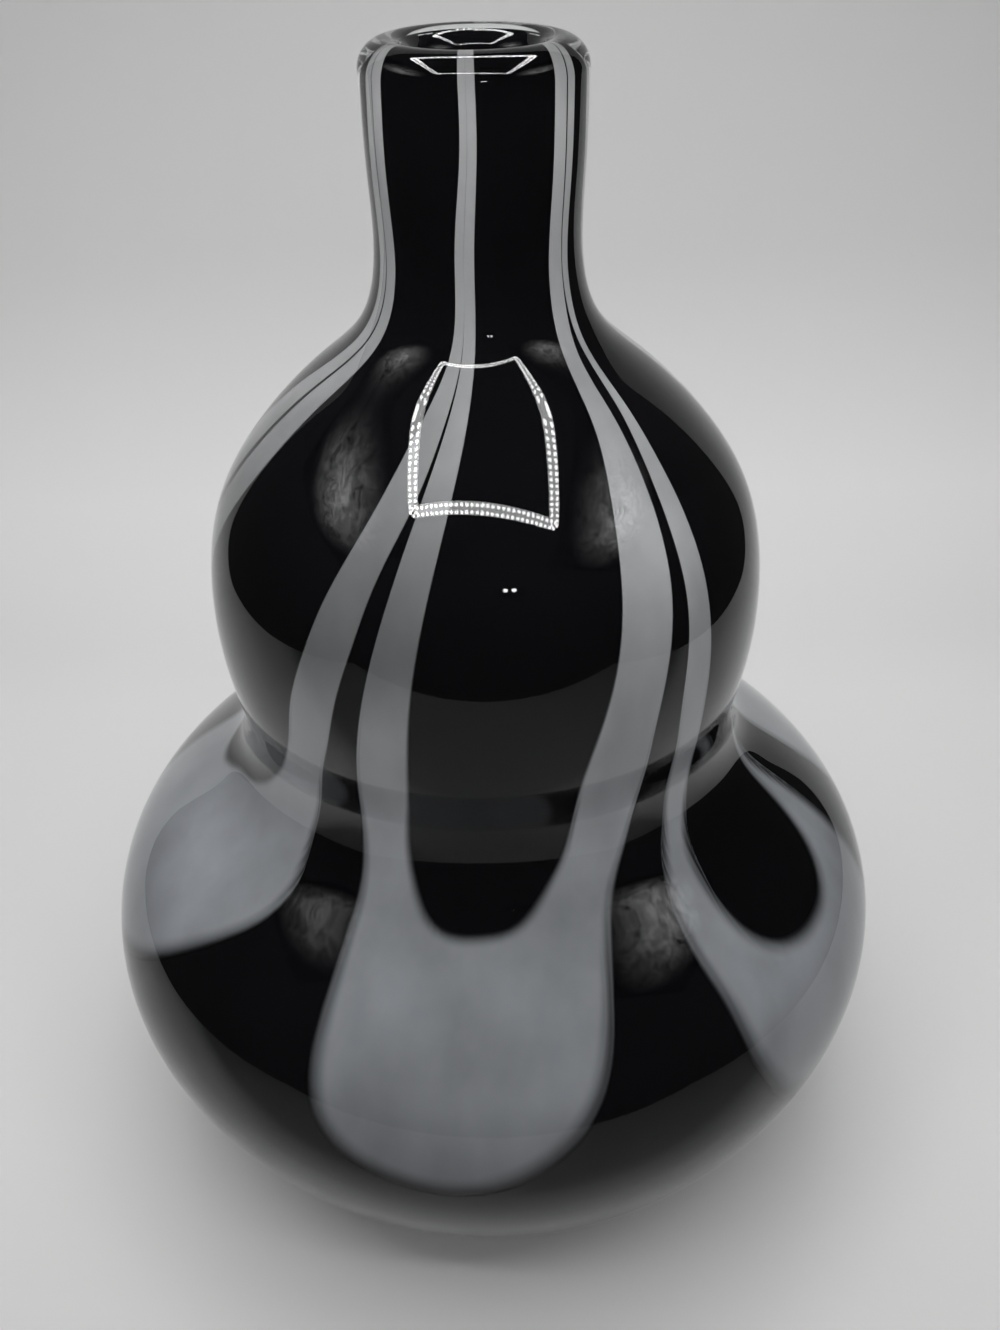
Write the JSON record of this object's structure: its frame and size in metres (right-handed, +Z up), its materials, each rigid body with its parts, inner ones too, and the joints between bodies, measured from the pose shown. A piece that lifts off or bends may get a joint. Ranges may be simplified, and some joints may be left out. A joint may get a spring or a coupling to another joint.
{
  "type": "double gourd vase",
  "caption": "Double gourd vase of cased glass: a hollow black core with white trailed loops let into it, under a thick clear casing rolled over at the lip.",
  "frame": {"origin": "middle of the flat foot that the vase stands on", "axes": "+Z up along the axis of the vase, -Y towards the front loop"},
  "size_m": [0.1812, 0.1812, 0.25],
  "materials": {
    "clear_glass": "fire polished",
    "black_glass": "opaque glass, gloss",
    "white_glass": "opaque glass, gloss"
  },
  "bodies": {
    "root": {"clear_casing": "clear_glass", "black_core": "black_glass", "white_loop_front": "white_glass", "white_loop_right": "white_glass", "white_loop_right_back": "white_glass", "white_loop_back": "white_glass", "white_loop_left_back": "white_glass", "white_loop_left": "white_glass"}
  },
  "joints": []
}
